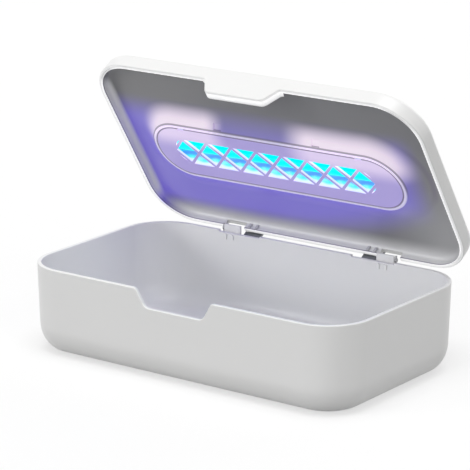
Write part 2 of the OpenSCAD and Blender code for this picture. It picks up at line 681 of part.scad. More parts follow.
module lid_leads() color([0.8, 0.2, 0.15]) on_lid() {
    pin_x = tube_l / 2 + pin_l;
    turn_x = trough_half + 0.8;
    edge_z = board_top - board_t / 2;
    over_z = (lid_top + trough_h + reflector_t) / 2;
    button_z = ceiling + 0.4;
    board_end = box_d / 2 - cover_wall - fit - 14;
    cell_x = -battery[0] / 2;
    cell_y = battery_y + battery[1] / 2;
    side_x = board_x[0] - 6;                    // where leads cross over the reflector
    for (s = [-1, 1], edge = s < 0 ? board_x[0] : board_x[1])
        lead([[s * pin_x, 0, tube_z], [s * turn_x, 0, tube_z], [s * turn_x, 8, 7], [s * (turn_x - 3), 10.2, 7.2],
              [s * 36, 14, 7.4], [edge + s * 2, 18, edge_z], [edge, 18, edge_z]]);
    lead([[cell_x, cell_y, 7.6], [cell_x - 3, cell_y, 7.6], [side_x, -12, over_z], [side_x, 12, over_z],
          [board_x[0] - 2, board_y[0] + 7, edge_z], [board_x[0], board_y[0] + 7, edge_z]]);
    lead([[0, board_y[1], edge_z], [0, board_y[1] + 4, edge_z], [0, board_end - 3, ceiling + board_t / 2],
          [0, board_end, ceiling + board_t / 2]]);
    lead([[-switch_board_w / 2, button_y + 5, button_z], [-switch_board_w / 2 - 4, button_y + 5, button_z],
          [side_x, battery_y - 5, 8.2], [side_x - 5, -14, over_z], [side_x - 5, 16, over_z],
          [board_x[0] - 4, board_y[1] - 3, edge_z], [board_x[0], board_y[1] - 3, edge_z]]);
    lead([[sensor_lead_x, sensor_lead_y, sensor_z + sensor[2]], [sensor_lead_x, sensor_lead_y, 7.9],
          [sensor_lead_x, button_y - 12, 7.9], [sensor_lead_x, button_y - 10, button_z],
          [sensor_lead_x, button_y - 8, button_z]]);
}

tub_shell();
tub_feet();
interlock_magnet();
hinge_bracket_left();
hinge_bracket_right();
hinge_pin_left();
hinge_pin_right();
lid_cover();
lid_liner();
hinge_leaf_left();
hinge_leaf_right();
lamp_cover();
reflector();
lamp_tube();
lamp_holder_left();
lamp_holder_right();
driver_board();
step_up_transformer();
battery_cell();
charge_board();
charge_socket();
button_switch();
status_light();
interlock_sensor();
liner_screws();
lid_leads();
power_button();
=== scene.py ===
# %% [markdown]
# # Ultraviolet sanitizer box for phones
# The solids of the box give every size and every joint. This lesson dresses them: smooth moulded
# shells with softened edges, small steel hinges, and a lit lamp behind a latticed window.
# Lengths are written in millimetres, as on a drawing, and turned into metres when a piece is finished.

# %% Load the solids
import json
import math

import bmesh
import bpy
from mathutils import Matrix, Vector

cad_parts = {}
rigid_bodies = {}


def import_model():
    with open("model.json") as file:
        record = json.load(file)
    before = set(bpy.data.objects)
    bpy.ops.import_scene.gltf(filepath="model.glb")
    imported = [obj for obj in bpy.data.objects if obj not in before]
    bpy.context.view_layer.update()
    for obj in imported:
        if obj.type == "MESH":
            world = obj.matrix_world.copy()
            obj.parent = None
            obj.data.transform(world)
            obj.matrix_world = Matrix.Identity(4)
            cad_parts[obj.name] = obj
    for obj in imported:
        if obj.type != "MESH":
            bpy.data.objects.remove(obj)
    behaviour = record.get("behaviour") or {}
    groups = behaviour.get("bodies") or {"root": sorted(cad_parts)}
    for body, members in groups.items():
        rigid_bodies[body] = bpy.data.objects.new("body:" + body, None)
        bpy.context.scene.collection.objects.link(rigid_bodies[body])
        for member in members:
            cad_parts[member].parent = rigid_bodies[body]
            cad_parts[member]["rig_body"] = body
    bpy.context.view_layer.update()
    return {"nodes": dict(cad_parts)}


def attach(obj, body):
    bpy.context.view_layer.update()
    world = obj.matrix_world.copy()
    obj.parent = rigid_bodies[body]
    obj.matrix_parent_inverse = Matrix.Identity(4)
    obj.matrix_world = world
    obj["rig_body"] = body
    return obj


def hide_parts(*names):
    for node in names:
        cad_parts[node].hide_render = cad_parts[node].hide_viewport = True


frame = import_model()
nodes = frame["nodes"]
scene = bpy.context.scene

# %% [markdown]
# ## Camera
# A long lens from the front right, a little above the rim, looks at the open box. The numbers come
# from fitting the rim, the lid and the window of a box of this size to the picture.

# %% Camera
azimuth, elevation, distance = math.radians(36.27), math.radians(15.31), 1.51894
target = Vector((-0.01271, 0.01073, 0.06956))
focal_pixels, picture_pixels, sensor_mm = 2581.43, 470, 36
back = Vector((math.sin(azimuth) * math.cos(elevation), -math.cos(azimuth) * math.cos(elevation),
               math.sin(elevation)))
camera = bpy.data.objects.new("camera", bpy.data.cameras.new("camera"))
camera.data.sensor_width = sensor_mm
camera.data.lens = focal_pixels * sensor_mm / picture_pixels
camera.data.clip_start, camera.data.clip_end = 0.1, 20
camera.location = target + back * distance
camera.rotation_euler = back.to_track_quat("Z", "Y").to_euler()
scene.collection.objects.link(camera)
scene.camera = camera
print("lens:", round(camera.data.lens, 1), "mm")

# %% [markdown]
# ## Sizes
# The lid is easiest to draw shut, with heights counted up from its rim. One matrix then lifts it to
# the rim of the tub and swings it open about the hinge, so every lid piece is drawn flat.

# %% Sizes and the lid's place
box_w, box_d, tub_h, corner_r = 230, 133, 53, 28
half_d = box_d / 2
tub_wall, tub_draft, base_h, base_w = 2.6, 1.6, 17, 12
lid_h, lid_round_h, lid_round_w, cover_wall = 11.2, 3.7, 4.2, 1.6
liner_in, rim_band, dish_h, dish_round, liner_wall = 1.7, 2.8, 6, 3.6, 1.1
axis_y, axis_z, rim_z = half_d + 1.8, tub_h - 5, tub_h + 0.3
notch_w, notch_bottom_w, notch_depth, notch_low_r, notch_top_r = 54, 41, 10.8, 5, 3
notch_gap = 0.5
pod_half, pod_r0, pod_r1 = 68.2, 21.2, 37
seat_r, ledge_r, ledge_h, ledge_top, lamp_drop = 19.4, 17.8, 0.7, 2.1, 0.8
lid_open = math.radians(57)

to_metres = Matrix.Scale(0.001, 4)
swing = Matrix.Rotation(-lid_open, 4, "X")
on_lid = (to_metres @ Matrix.Translation((0, axis_y, axis_z)) @ swing
          @ Matrix.Translation((0, -axis_y, rim_z - axis_z)))
print("lid stands open by", round(math.degrees(lid_open)), "degrees")

# %% [markdown]
# ## Surface grain
# Moulded plastic, drawn steel and rubber are never one flat value. One node group gives each of them a
# faint cloud of colour, a fine grain and an uneven gloss; every finish sets its own amounts.


# %% Surface grain group
def group_socket(group, name, kind, output=False, value=None):
    made = group.interface.new_socket(
        name=name, in_out="OUTPUT" if output else "INPUT", socket_type="NodeSocket" + kind)
    if value is not None:
        made.default_value = value


def add_node(tree, kind, values=None, **settings):
    made = tree.nodes.new("ShaderNode" + kind)
    for key, value in settings.items():
        setattr(made, key, value)
    for key, value in (values or {}).items():
        made.inputs[key].default_value = value
    return made


fine_grain = 2500
grain = bpy.data.node_groups.new("surface grain", "ShaderNodeTree")
group_socket(grain, "Vector", "Vector")
group_socket(grain, "Color", "Color", value=(0.8, 0.8, 0.8, 1))
group_socket(grain, "Tint", "Float", value=0.03)
group_socket(grain, "Roughness", "Float", value=0.35)
group_socket(grain, "Unevenness", "Float", value=0.08)
group_socket(grain, "Grain Scale", "Float", value=fine_grain)
group_socket(grain, "Color", "Color", output=True)
group_socket(grain, "Roughness", "Float", output=True)
group_socket(grain, "Height", "Float", output=True)
entry, leave = grain.nodes.new("NodeGroupInput"), grain.nodes.new("NodeGroupOutput")
cloud = add_node(grain, "TexNoise", {"Scale": 14, "Detail": 3, "Roughness": 0.6})
fine = add_node(grain, "TexNoise", {"Detail": 2, "Roughness": 0.5})
swirl = add_node(grain, "TexNoise", {"Scale": 90, "Detail": 4, "Roughness": 0.65})
shade = add_node(grain, "MapRange", {"To Min": 1, "To Max": 1})
low_tint = add_node(grain, "Math", {0: 1.0}, operation="SUBTRACT")
tinted = add_node(grain, "Mix", {"Factor": 1.0}, data_type="RGBA", blend_type="MULTIPLY")
centre = add_node(grain, "Math", {1: 0.5}, operation="SUBTRACT")
uneven = add_node(grain, "Math", operation="MULTIPLY_ADD")
for texture in (cloud, fine, swirl):
    grain.links.new(entry.outputs["Vector"], texture.inputs["Vector"])
grain.links.new(entry.outputs["Grain Scale"], fine.inputs["Scale"])
grain.links.new(entry.outputs["Tint"], low_tint.inputs[1])
grain.links.new(cloud.outputs["Fac"], shade.inputs["Value"])
grain.links.new(low_tint.outputs[0], shade.inputs["To Min"])
grain.links.new(entry.outputs["Color"], tinted.inputs["A"])
grain.links.new(shade.outputs["Result"], tinted.inputs["B"])
grain.links.new(swirl.outputs["Fac"], centre.inputs[0])
grain.links.new(centre.outputs[0], uneven.inputs[0])
grain.links.new(entry.outputs["Unevenness"], uneven.inputs[1])
grain.links.new(entry.outputs["Roughness"], uneven.inputs[2])
grain.links.new(tinted.outputs["Result"], leave.inputs["Color"])
grain.links.new(uneven.outputs[0], leave.inputs["Roughness"])
grain.links.new(fine.outputs["Fac"], leave.inputs["Height"])
print("group:", grain.name, "with", len(grain.nodes), "nodes")

# %% [markdown]
# ## Finishes
# Every finish is one Principled shader that takes its colour, gloss and bump from the grain group. Only
# the numbers differ: a drawn wire stretches the grain along its length, and rubber has a deeper one.


# %% A finish made with the grain
grain_depth = 0.0002  # metres


def finish(name, color, roughness, tint=0.03, unevenness=0.08, grain_scale=fine_grain, bump=0.02,
           stretch=(1, 1, 1), **shader):
    material = bpy.data.materials.new(name)
    material.use_nodes = True
    tree = material.node_tree
    surface = tree.nodes["Principled BSDF"]
    place = add_node(tree, "TexCoord")
    mapping = add_node(tree, "Mapping", {"Scale": stretch})
    skin = tree.nodes.new("ShaderNodeGroup")
    skin.node_tree = grain
    for key, value in {"Color": (*color, 1), "Tint": tint, "Roughness": roughness,
                       "Unevenness": unevenness, "Grain Scale": grain_scale}.items():
        skin.inputs[key].default_value = value
    relief = add_node(tree, "Bump", {"Strength": bump, "Distance": grain_depth})
    tree.links.new(place.outputs["Object"], mapping.inputs["Vector"])
    tree.links.new(mapping.outputs["Vector"], skin.inputs["Vector"])
    tree.links.new(skin.outputs["Color"], surface.inputs["Base Color"])
    tree.links.new(skin.outputs["Roughness"], surface.inputs["Roughness"])
    tree.links.new(skin.outputs["Height"], relief.inputs["Height"])
    tree.links.new(relief.outputs["Normal"], surface.inputs["Normal"])
    for key, value in shader.items():
        surface.inputs[key.replace("_", " ")].default_value = value
    return material


shell_white = (0.82, 0.82, 0.815)
white = finish("white moulded shell", shell_white, 0.3, bump=0.03)
hinge_white = finish("white hinge plastic", (0.86, 0.86, 0.85), 0.4, bump=0.05)
wire_steel = finish("drawn wire", (0.42, 0.42, 0.43), 0.35, tint=0.15, stretch=(0.1, 1, 1), bump=0.05,
                    Metallic=0.9)
rubber_grey = finish("foot rubber", (0.45, 0.45, 0.45), 0.75, tint=0.12, bump=0.2)
board_green = finish("board lacquer", (0.02, 0.13, 0.06), 0.35, tint=0.25, grain_scale=700, bump=0.1)
winding_tape = finish("yellow winding tape", (0.75, 0.6, 0.08), 0.5, tint=0.15, grain_scale=600, bump=0.1)
foil = finish("battery foil", (0.55, 0.58, 0.6), 0.32, tint=0.1, grain_scale=300, bump=0.15, Metallic=0.9)
dark_plastic = finish("dark plastic", (0.025, 0.025, 0.028), 0.45, tint=0.2, bump=0.1)
lead_red = finish("red lead", (0.5, 0.03, 0.02), 0.45, tint=0.1, bump=0.05)
plate_zinc = finish("zinc plate", (0.55, 0.56, 0.58), 0.3, tint=0.12, bump=0.06, Metallic=0.95)
clear_guide = finish("light guide", (0.75, 0.85, 0.95), 0.2, bump=0.02, Transmission_Weight=0.6)
print("finishes:", len(bpy.data.materials))

# %% [markdown]
# ## Where a point lies on the shut lid
# The glow follows the lid's own lengths, so it is easiest to place while the lid is flat. A Mapping node
# turns each point of the open lid back to the shut lid, in millimetres from the middle of its rim.


# %% Shut-lid coordinates and soft edges
def on_shut_lid(tree):
    move, turn, size = on_lid.inverted().decompose()
    place = add_node(tree, "TexCoord")
    mapping = add_node(tree, "Mapping", {"Location": move, "Rotation": turn.to_euler(), "Scale": size})
    tree.links.new(place.outputs["Object"], mapping.inputs["Vector"])
    return mapping.outputs["Vector"]


def calculate(tree, operation, *terms):
    made = add_node(tree, "Math", operation=operation)
    for socket, term in zip(made.inputs, terms):
        if isinstance(term, (int, float)):
            socket.default_value = term
        else:
            tree.links.new(term, socket)
    return made.outputs[0]


def ramp(tree, source, start, end):
    """A soft step: 0 at start and 1 at end."""
    made = add_node(tree, "MapRange", {"From Min": start, "From Max": end}, interpolation_type="SMOOTHSTEP")
    tree.links.new(source, made.inputs["Value"])
    return made.outputs["Result"]


def near(tree, source, middle, far, close):
    """A soft line: 1 within close of the middle value, 0 beyond far from it."""
    return ramp(tree, calculate(tree, "ABSOLUTE", calculate(tree, "SUBTRACT", source, middle)), far, close)


def product(tree, *factors):
    total = factors[0]
    for factor in factors[1:]:
        total = calculate(tree, "MULTIPLY", total, factor)
    return total


def between(tree, source, start, full, fade, end):
    """A soft patch: 1 from full to fade, 0 before start and past end."""
    return product(tree, ramp(tree, source, start, full), ramp(tree, source, end, fade))


def all_but(tree, mask, share):
    """1 where the mask is empty, 1 - share where it is full."""
    return calculate(tree, "MULTIPLY_ADD", mask, -share, 1.0)


def hypotenuse(tree, a, b):
    return calculate(tree, "SQRT", calculate(tree, "ADD", product(tree, a, a), product(tree, b, b)))

def tinted_sum(tree, parts):
    """Adds up (colour, mask) pairs; each mask is a socket."""
    total = None
    for colour, mask in parts:
        made = add_node(tree, "VectorMath", {0: colour}, operation="MULTIPLY_ADD")
        tree.links.new(mask, made.inputs[1])
        if total:
            tree.links.new(total, made.inputs[2])
        total = made.outputs[0]
    return total


print("shut lid from open lid:", [round(v, 1) for v in on_lid.inverted().translation])

# %% [markdown]
# ## Lamp glow
# With the lamp on, violet light spills over the dish below the pod, and the pod's upper side catches a
# rosy white in two long patches. Both are painted on as glow, and so are a violet glow on the pod's crest
# and painted light on the lid's front rim band and on the lamp cover's window. One group works out these
# soft masks for every piece that the light falls on. It also works out the painted shade that darkens the
# dish, and the dark line masks: painted shade round the lamp cover, along the pod's crest edge and at the
# pod's right foot, and a dark seam line just inside the lid's rim. Each number is a place on the shut lid
# in millimetres: along its width, across its depth, or up. Reach is the distance from the pod's long middle
# line.

# %% Lamp glow group
glow = bpy.data.node_groups.new("lamp glow", "ShaderNodeTree")
group_socket(glow, "Vector", "Vector")
for name in ("Violet", "Rose", "Dish Painted Shade", "Crest", "Seam And Painted Shade", "Lip", "Cut"):
    group_socket(glow, name, "Float", output=True)
entry, leave = glow.nodes.new("NodeGroupInput"), glow.nodes.new("NodeGroupOutput")
split = add_node(glow, "SeparateXYZ")
glow.links.new(entry.outputs["Vector"], split.inputs[0])
along, across, height = split.outputs["X"], split.outputs["Y"], split.outputs["Z"]
from_middle = calculate(glow, "ABSOLUTE", along)
past_end = calculate(glow, "MAXIMUM", calculate(glow, "SUBTRACT", from_middle, pod_half), 0.0)
reach = hypotenuse(glow, past_end, across)

field_x, field_y, field_half_w, field_half_d = -60.0, -40.0, 190.0, 101.0
oval_x = calculate(glow, "DIVIDE", calculate(glow, "ADD", along, -field_x), field_half_w)
oval_y = calculate(glow, "DIVIDE", calculate(glow, "ADD", across, -field_y), field_half_d)
field = hypotenuse(glow, oval_x, oval_y)

crest_r = 22.0
# Crest: painted violet glow on the pod's crest, next to the lamp cover.
crest, off_crest = ramp(glow, reach, crest_r, pod_r0), ramp(glow, reach, pod_r0, crest_r)
off_pod = ramp(glow, reach, 40.0, 44.0)
side_lip = ramp(glow, from_middle, 112.0, 108.0)
front_lip, rear_lip = ramp(glow, across, -63.5, -61.0), ramp(glow, across, 67.0, 51.0)
left_patch = between(glow, along, -104.0, -78.0, -46.0, -29.0)
right_patch = between(glow, along, 9.0, 31.0, 84.0, 106.0)
# Rose: painted light in two long patches on the pod's upper side.
rose = product(glow, calculate(glow, "MAXIMUM", left_patch, right_patch),
               ramp(glow, reach, 36.0, 24.0), ramp(glow, across, 0.0, -15.0))
# Violet: painted glow of the lamp over the dish below the pod.
violet = product(glow, ramp(glow, field, 1.12, 0.88), ramp(glow, across, -39.0, -14.0), side_lip,
                 off_crest, ramp(glow, across, 63.5, 48.0), ramp(glow, along, 103.0, 86.0),
                 all_but(glow, rose, 0.8))
# Painted shade: the dish is darkened all over except at its lips and the pod's crest, and less so in its far
# corner.
far_corner_less_shade = product(glow, ramp(glow, along, 55.0, 112.0), ramp(glow, across, -40.0, 55.0))
dish_painted_shade = product(glow, side_lip, front_lip, rear_lip, off_crest, all_but(glow, far_corner_less_shade, 0.35))
# Lip: painted light on the lid's front rim band.
lip = product(glow, ramp(glow, height, 0.3, 0.05), ramp(glow, across, -66.1, -65.6), off_pod)
# Cut: painted light on the lamp cover's window, below its rim.
cut = product(glow, ramp(glow, height, -0.7, -0.5), ramp(glow, reach, 16.0, 15.0))

seam = product(glow, near(glow, height, 0.65, 0.45, 0.2), off_pod,
               ramp(glow, calculate(glow, "ABSOLUTE", across), 64.4, 63.9),
               ramp(glow, from_middle, 112.9, 112.4))
# Foot: a painted contact shadow at the foot of the pod's right end.
foot_shadow_strength = 0.55
foot = product(glow, near(glow, reach, 36.2, 3.2, 0.4), ramp(glow, along, 84.0, 98.0),
               ramp(glow, across, -32.0, -20.0), ramp(glow, across, 24.0, 6.0), foot_shadow_strength)
# Painted shade in the gap round the lamp cover, and along the pod's crest edge.
cover_edge_shade = near(glow, reach, 19.35, 0.75, 0.25)
crest_edge_shade = product(glow, near(glow, reach, 21.8, 0.8, 0.2), ramp(glow, across, 12.0, -4.0))
# The dark line masks join painted shade (cover edge, crest edge, foot) with the dark seam.
lines = calculate(glow, "MAXIMUM", calculate(glow, "MAXIMUM", cover_edge_shade, crest_edge_shade),
                  calculate(glow, "MAXIMUM", seam, foot))
for name, mask in {"Violet": violet, "Rose": rose, "Dish Painted Shade": dish_painted_shade, "Crest": crest,
                   "Seam And Painted Shade": lines, "Lip": lip, "Cut": cut}.items():
    glow.links.new(mask, leave.inputs[name])
print("group:", glow.name, "with", len(glow.nodes), "nodes")

# %% [markdown]
# ## Lit finishes
# The masks mix the plastic's colour with the painted shade in the dish, darken it along the dark line
# masks (painted shade, and the dark seam), and add painted glow. The tube is one cyan light, and the
# reflector round it is painted with glow: cyan, a deep blue stripe, cyan again and a white edge, from its
# middle to its rim.


# %% Lit finishes
# Colour of the dark line masks: painted shade, and the dark seam.
seam_and_shade_tone = (0.16, 0.13, 0.24)


def lit_finish(name, plain, dish_shade_colour, rough, parts, lines=0.6, **extra):
    """parts gives each painted glow colour by the name of its mask; the second colour is the painted shade
    inside the dish.
    """
    material = finish(name, plain, rough, **extra)
    tree = material.node_tree
    surface = tree.nodes["Principled BSDF"]
    skin = next(n for n in tree.nodes if n.type == "GROUP")
    masks = tree.nodes.new("ShaderNodeGroup")
    masks.node_tree = glow
    tree.links.new(on_shut_lid(tree), masks.inputs["Vector"])
    out = masks.outputs
    # Painted shade in the dish, lifted where the painted rose light falls.
    shade = product(tree, out["Dish Painted Shade"], all_but(tree, out["Rose"], 0.75))
    mixed = add_node(tree, "Mix", {"A": (*plain, 1), "B": (*dish_shade_colour, 1)}, data_type="RGBA")
    tree.links.new(shade, mixed.inputs["Factor"])
    # Darkening along the dark line masks: painted shade, and the dark seam.
    dark = add_node(tree, "Mix", {"B": (*seam_and_shade_tone, 1)}, data_type="RGBA")
    tree.links.new(mixed.outputs["Result"], dark.inputs["A"])
    tree.links.new(product(tree, out["Seam And Painted Shade"], lines), dark.inputs["Factor"])
    tree.links.new(dark.outputs["Result"], skin.inputs["Color"])
    clear = all_but(tree, out["Seam And Painted Shade"], 0.8)
    tree.links.new(tinted_sum(tree, [(colour, product(tree, out[mask], clear)) for mask, colour in parts]),
                   surface.inputs["Emission Color"])
    surface.inputs["Emission Strength"].default_value = 1.0
    return material

def light_up(material, color, strength):
    surface = material.node_tree.nodes["Principled BSDF"]
    surface.inputs["Emission Color"].default_value = (*color, 1)
    surface.inputs["Emission Strength"].default_value = strength
    return material


# The lid shell's only glow is painted light on its front rim band.
white_lit = lit_finish("white lid shell", shell_white, shell_white, 0.3, [("Lip", (0.25, 0.25, 0.25))],
                       lines=0, bump=0.03)
# The liner's second colour is painted shade in the dish; all its glow colours are painted light.
liner_lit = lit_finish("lit liner", shell_white, (0.235, 0.235, 0.24), 0.34,
                       [("Violet", (0.035, 0.005, 0.38)), ("Rose", (0.37, 0.27, 0.34)),
                        ("Crest", (0.1, 0.06, 0.26)), ("Lip", (0.5, 0.5, 0.5))], bump=0.03)
# The lilac base colour is painted violet lamp light on the cover; its masks add painted glow.
lilac = (0.45, 0.39, 0.58)
cover_lit_lilac = lit_finish("lamp cover lit lilac", lilac, lilac, 0.25,
                         [("Crest", (0.1, 0.08, 0.28)), ("Rose", (0.33, 0.28, 0.2)),
                          ("Cut", (0.5, 0.45, 0.4))], bump=0.03)
tube_glow = light_up(finish("glowing tube", (0.0, 0.25, 0.3), 0.3, bump=0, Specular_IOR_Level=0.1),
                     (0.0, 0.9, 1.0), 1.0)
# The holders are no lamps: their blue colour and their glow are painted light from the tube.
holder_lit = light_up(finish("lit holder block", (0.1, 0.3, 0.4), 0.5, bump=0.08), (0.0, 0.5, 0.85), 0.7)

# %% [markdown]
# ## Hinge leaf
# The leaf is satin steel outside the lid. Its prongs come through the lid's wall and look pale inside,
# so its colour and its metal change at that wall, within one finish.


# %% Hinge leaf, pale where it comes through the lid's wall
leaf_steel, prong_pale = (0.2, 0.21, 0.225), (0.62, 0.62, 0.64)


def two_tone_leaf():
    material = finish("satin hinge steel", leaf_steel, 0.42, tint=0.2, grain_scale=900,
                      stretch=(0.15, 1, 1), bump=0.08)
    tree = material.node_tree
    split = add_node(tree, "SeparateXYZ")
    tree.links.new(on_shut_lid(tree), split.inputs[0])
    outside = ramp(tree, split.outputs["Y"], half_d - 1.2, half_d - 0.8)
    tone = add_node(tree, "Mix", {"A": (*prong_pale, 1), "B": (*leaf_steel, 1)}, data_type="RGBA")
    tree.links.new(outside, tone.inputs["Factor"])
    skin = next(n for n in tree.nodes if n.type == "GROUP")
    tree.links.new(tone.outputs["Result"], skin.inputs["Color"])
    tree.links.new(calculate(tree, "MULTIPLY", outside, 0.85),
                   tree.nodes["Principled BSDF"].inputs["Metallic"])
    return material


hinge_steel = two_tone_leaf()

# %% [markdown]
# ## Reflector
# Seen between the bars, the trough is banded along its length with painted glow. The reflector is no lamp,
# yet its cyan, its deep blue stripe and its white edge are all emission that stands in for the tube's light
# on it. A colour ramp over the distance from the tube gives the bands, and a slow sine along the tube keeps
# their edges from being ruled lines.


# %% Reflector round the lamp
wave_l, wave_h, trough_half = 18.2, 0.35, 12.0
cyan, deep_blue, edge_white = (0.0, 0.85, 1.0), (0.04, 0.16, 0.78), (0.9, 0.88, 1.0)
stops = [(0.0, cyan), (0.5, (0.0, 0.8, 1.0)), (0.57, deep_blue), (0.68, (0.03, 0.18, 0.8)),
         (0.73, cyan), (0.8, (0.05, 0.85, 1.0)), (0.84, (0.9, 0.9, 1.0)), (1.0, edge_white)]


# The reflector is no lamp: all of its banded emission is painted glow.
def painted_glow_reflector():
    material = finish("lit reflector", (0.1, 0.2, 0.3), 0.3, tint=0.06)
    tree = material.node_tree
    split = add_node(tree, "SeparateXYZ")
    tree.links.new(on_shut_lid(tree), split.inputs[0])
    wave = calculate(tree, "SINE", calculate(tree, "MULTIPLY", split.outputs["X"], 2 * math.pi / wave_l))
    across = calculate(tree, "MULTIPLY_ADD", wave, wave_h, split.outputs["Y"])
    position = calculate(tree, "DIVIDE", across, trough_half)
    bands = add_node(tree, "ValToRGB")
    bands.color_ramp.interpolation = "B_SPLINE"
    while len(bands.color_ramp.elements) < len(stops):
        bands.color_ramp.elements.new(0.5)
    for element, (place, colour) in zip(bands.color_ramp.elements, stops):
        element.position, element.color = place, (*colour, 1)
    tree.links.new(position, bands.inputs["Fac"])
    surface = tree.nodes["Principled BSDF"]
    tree.links.new(bands.outputs["Color"], surface.inputs["Emission Color"])
    surface.inputs["Emission Strength"].default_value = 0.9
    return material


reflector_lit = painted_glow_reflector()
print("lit finishes:", [m.name for m in bpy.data.materials][-4:])

# %% [markdown]
# ## From a bmesh to a piece
# Every piece goes through the same last steps: into place, normals outwards, soft shading except at real
# edges, and then onto the body that carries it. Weighted normals keep the flat faces beside a rounded
# edge from taking on its shading.


# %% Last steps of a piece
def shade_smooth(bm, angle=32):
    for face in bm.faces:
        face.smooth = True
    for edge in bm.edges:
        edge.smooth = len(edge.link_faces) == 2 and edge.calc_face_angle(0) < math.radians(angle)


def piece(bm, name, material, body, node=None, place=to_metres, angle=32):
    bmesh.ops.transform(bm, matrix=place, verts=bm.verts)
    bmesh.ops.recalc_face_normals(bm, faces=bm.faces)
    shade_smooth(bm, angle)
    mesh = bpy.data.meshes.new(name)
    bm.to_mesh(mesh)
    bm.free()
    mesh.materials.append(material)
    made = bpy.data.objects.new(name, mesh)
    scene.collection.objects.link(made)
    flats = made.modifiers.new("flats keep their own normals", "WEIGHTED_NORMAL")
    flats.keep_sharp = True
    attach(made, body)
    if node:
        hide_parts(node)
    print(name, "faces:", len(mesh.polygons))
    return made


def as_object(bm):
    mesh = bpy.data.meshes.new("work")
    bm.to_mesh(mesh)
    bm.free()
    made = bpy.data.objects.new("work", mesh)
    scene.collection.objects.link(made)
    return made


def carve(bm, tools, operation="DIFFERENCE"):
    bmesh.ops.recalc_face_normals(bm, faces=bm.faces)
    work = as_object(bm)
    cutters = []
    for tool in tools:
        bmesh.ops.recalc_face_normals(tool, faces=tool.faces)
        cutters.append(as_object(tool))
        step = work.modifiers.new("carve", "BOOLEAN")
        step.solver, step.operation, step.object = "EXACT", operation, cutters[-1]
    bpy.context.view_layer.update()
    shape = work.evaluated_get(bpy.context.evaluated_depsgraph_get())
    result = bmesh.new()
    result.from_mesh(shape.data)
    for used in [work, *cutters]:
        data = used.data
        bpy.data.objects.remove(used)
        bpy.data.meshes.remove(data)
    bmesh.ops.remove_doubles(result, verts=result.verts, dist=1e-4)
    flat = math.radians(0.2)
    bmesh.ops.dissolve_limit(result, angle_limit=flat, verts=result.verts, edges=result.edges)
    return result


def soften(bm, width, angle=40, where=lambda point: True, segments=3):
    sharp = [e for e in bm.edges if len(e.link_faces) == 2 and e.calc_face_angle(0) > math.radians(angle)
             and where((e.verts[0].co + e.verts[1].co) / 2)]
    bmesh.ops.bevel(bm, geom=sharp, offset=width, offset_type="OFFSET", segments=segments, profile=0.5,
                    affect="EDGES", clamp_overlap=False, material=-1)
    return bm


# %% [markdown]
# ## Moulded shells
# The tub, the lid, the liner and the lamp's pod are all the same kind of form: a rounded rectangle whose
# side leans and curves into a flat. One flat face with bevelled corners is extruded again and again, and
# each new ring is set in or out round the centres of its corners, so they stay concentric, as in a mould.


# %% Moulded shell
four_corners, two_ends = ((-1, -1), (1, -1), (1, 1), (-1, 1)), ((-1, 0), (1, 0))
oval_room, oval_weld, ring_weld = 0.02, 0.05, 0.001


def quarter(width, height, steps=12):
    return [(width * (1 - math.cos(math.pi / 2 * i / steps)), height * math.sin(math.pi / 2 * i / steps))
            for i in range(steps + 1)]


def moulded_shell(width, depth, radius, path, segments=20, closed_ring=False):
    """path is a list of (inset, height); both ends are capped, or a closed_ring's ends are merged."""
    bm = bmesh.new()
    x, y = width / 2 - path[0][0], depth / 2 - path[0][0]
    corners = [bm.verts.new((sx * x, sy * y, path[0][1])) for sx, sy in four_corners]
    bm.faces.new(corners)
    long_oval = depth / 2 - radius < 0.1
    bmesh.ops.bevel(bm, geom=corners, offset=radius - path[0][0] - (oval_room if long_oval else 0),
                    offset_type="OFFSET", segments=segments, profile=0.5, affect="VERTICES", material=-1)
    bmesh.ops.remove_doubles(bm, verts=bm.verts, dist=oval_weld)
    bm.faces.ensure_lookup_table()
    first = face = bm.faces[0]
    for (inset, height), (next_inset, next_height) in zip(path, path[1:]):
        grown = bmesh.ops.extrude_face_region(bm, geom=[face])["geom"]
        if face != first:
            bmesh.ops.delete(bm, geom=[face], context="FACES_ONLY")
        face = next(g for g in grown if isinstance(g, bmesh.types.BMFace))
        bmesh.ops.translate(bm, vec=(0, 0, next_height - height), verts=face.verts[:])
        grow = (radius - next_inset) / (radius - inset)
        for sx, sy in two_ends if long_oval else four_corners:
            centre = Matrix.Translation((-sx * (width / 2 - radius), -sy * (depth / 2 - radius), 0))
            arc = [v for v in face.verts if v.co.x * sx > 0 and (sy == 0 or v.co.y * sy > 0)]
            bmesh.ops.scale(bm, vec=(grow, grow, 1), space=centre, verts=arc)
    if closed_ring:
        bmesh.ops.delete(bm, geom=[first, face], context="FACES_ONLY")
        bmesh.ops.remove_doubles(bm, verts=bm.verts, dist=ring_weld)
    bmesh.ops.recalc_face_normals(bm, faces=bm.faces)
    print("shell faces:", len(bm.faces), "open edges:", sum(e.is_boundary for e in bm.edges),
          "cm3:", round(bm.calc_volume() / 1000, 1))
    return bm


def block(x0, x1, y0, y1, z0, z1):
    bm = bmesh.new()
    bmesh.ops.create_cube(bm, size=1)
    bmesh.ops.scale(bm, vec=(x1 - x0, y1 - y0, z1 - z0), verts=bm.verts)
    bmesh.ops.translate(bm, vec=((x0 + x1) / 2, (y0 + y1) / 2, (z0 + z1) / 2), verts=bm.verts)
    return bm


def prism_y(outline, y0, y1):
    bm = bmesh.new()
    face = bm.faces.new([bm.verts.new((x, y0, z)) for x, z in outline])
    grown = bmesh.ops.extrude_face_region(bm, geom=[face])
    moved = [g for g in grown["geom"] if isinstance(g, bmesh.types.BMVert)]
    bmesh.ops.translate(bm, vec=(0, y1 - y0, 0), verts=moved)
    return bm


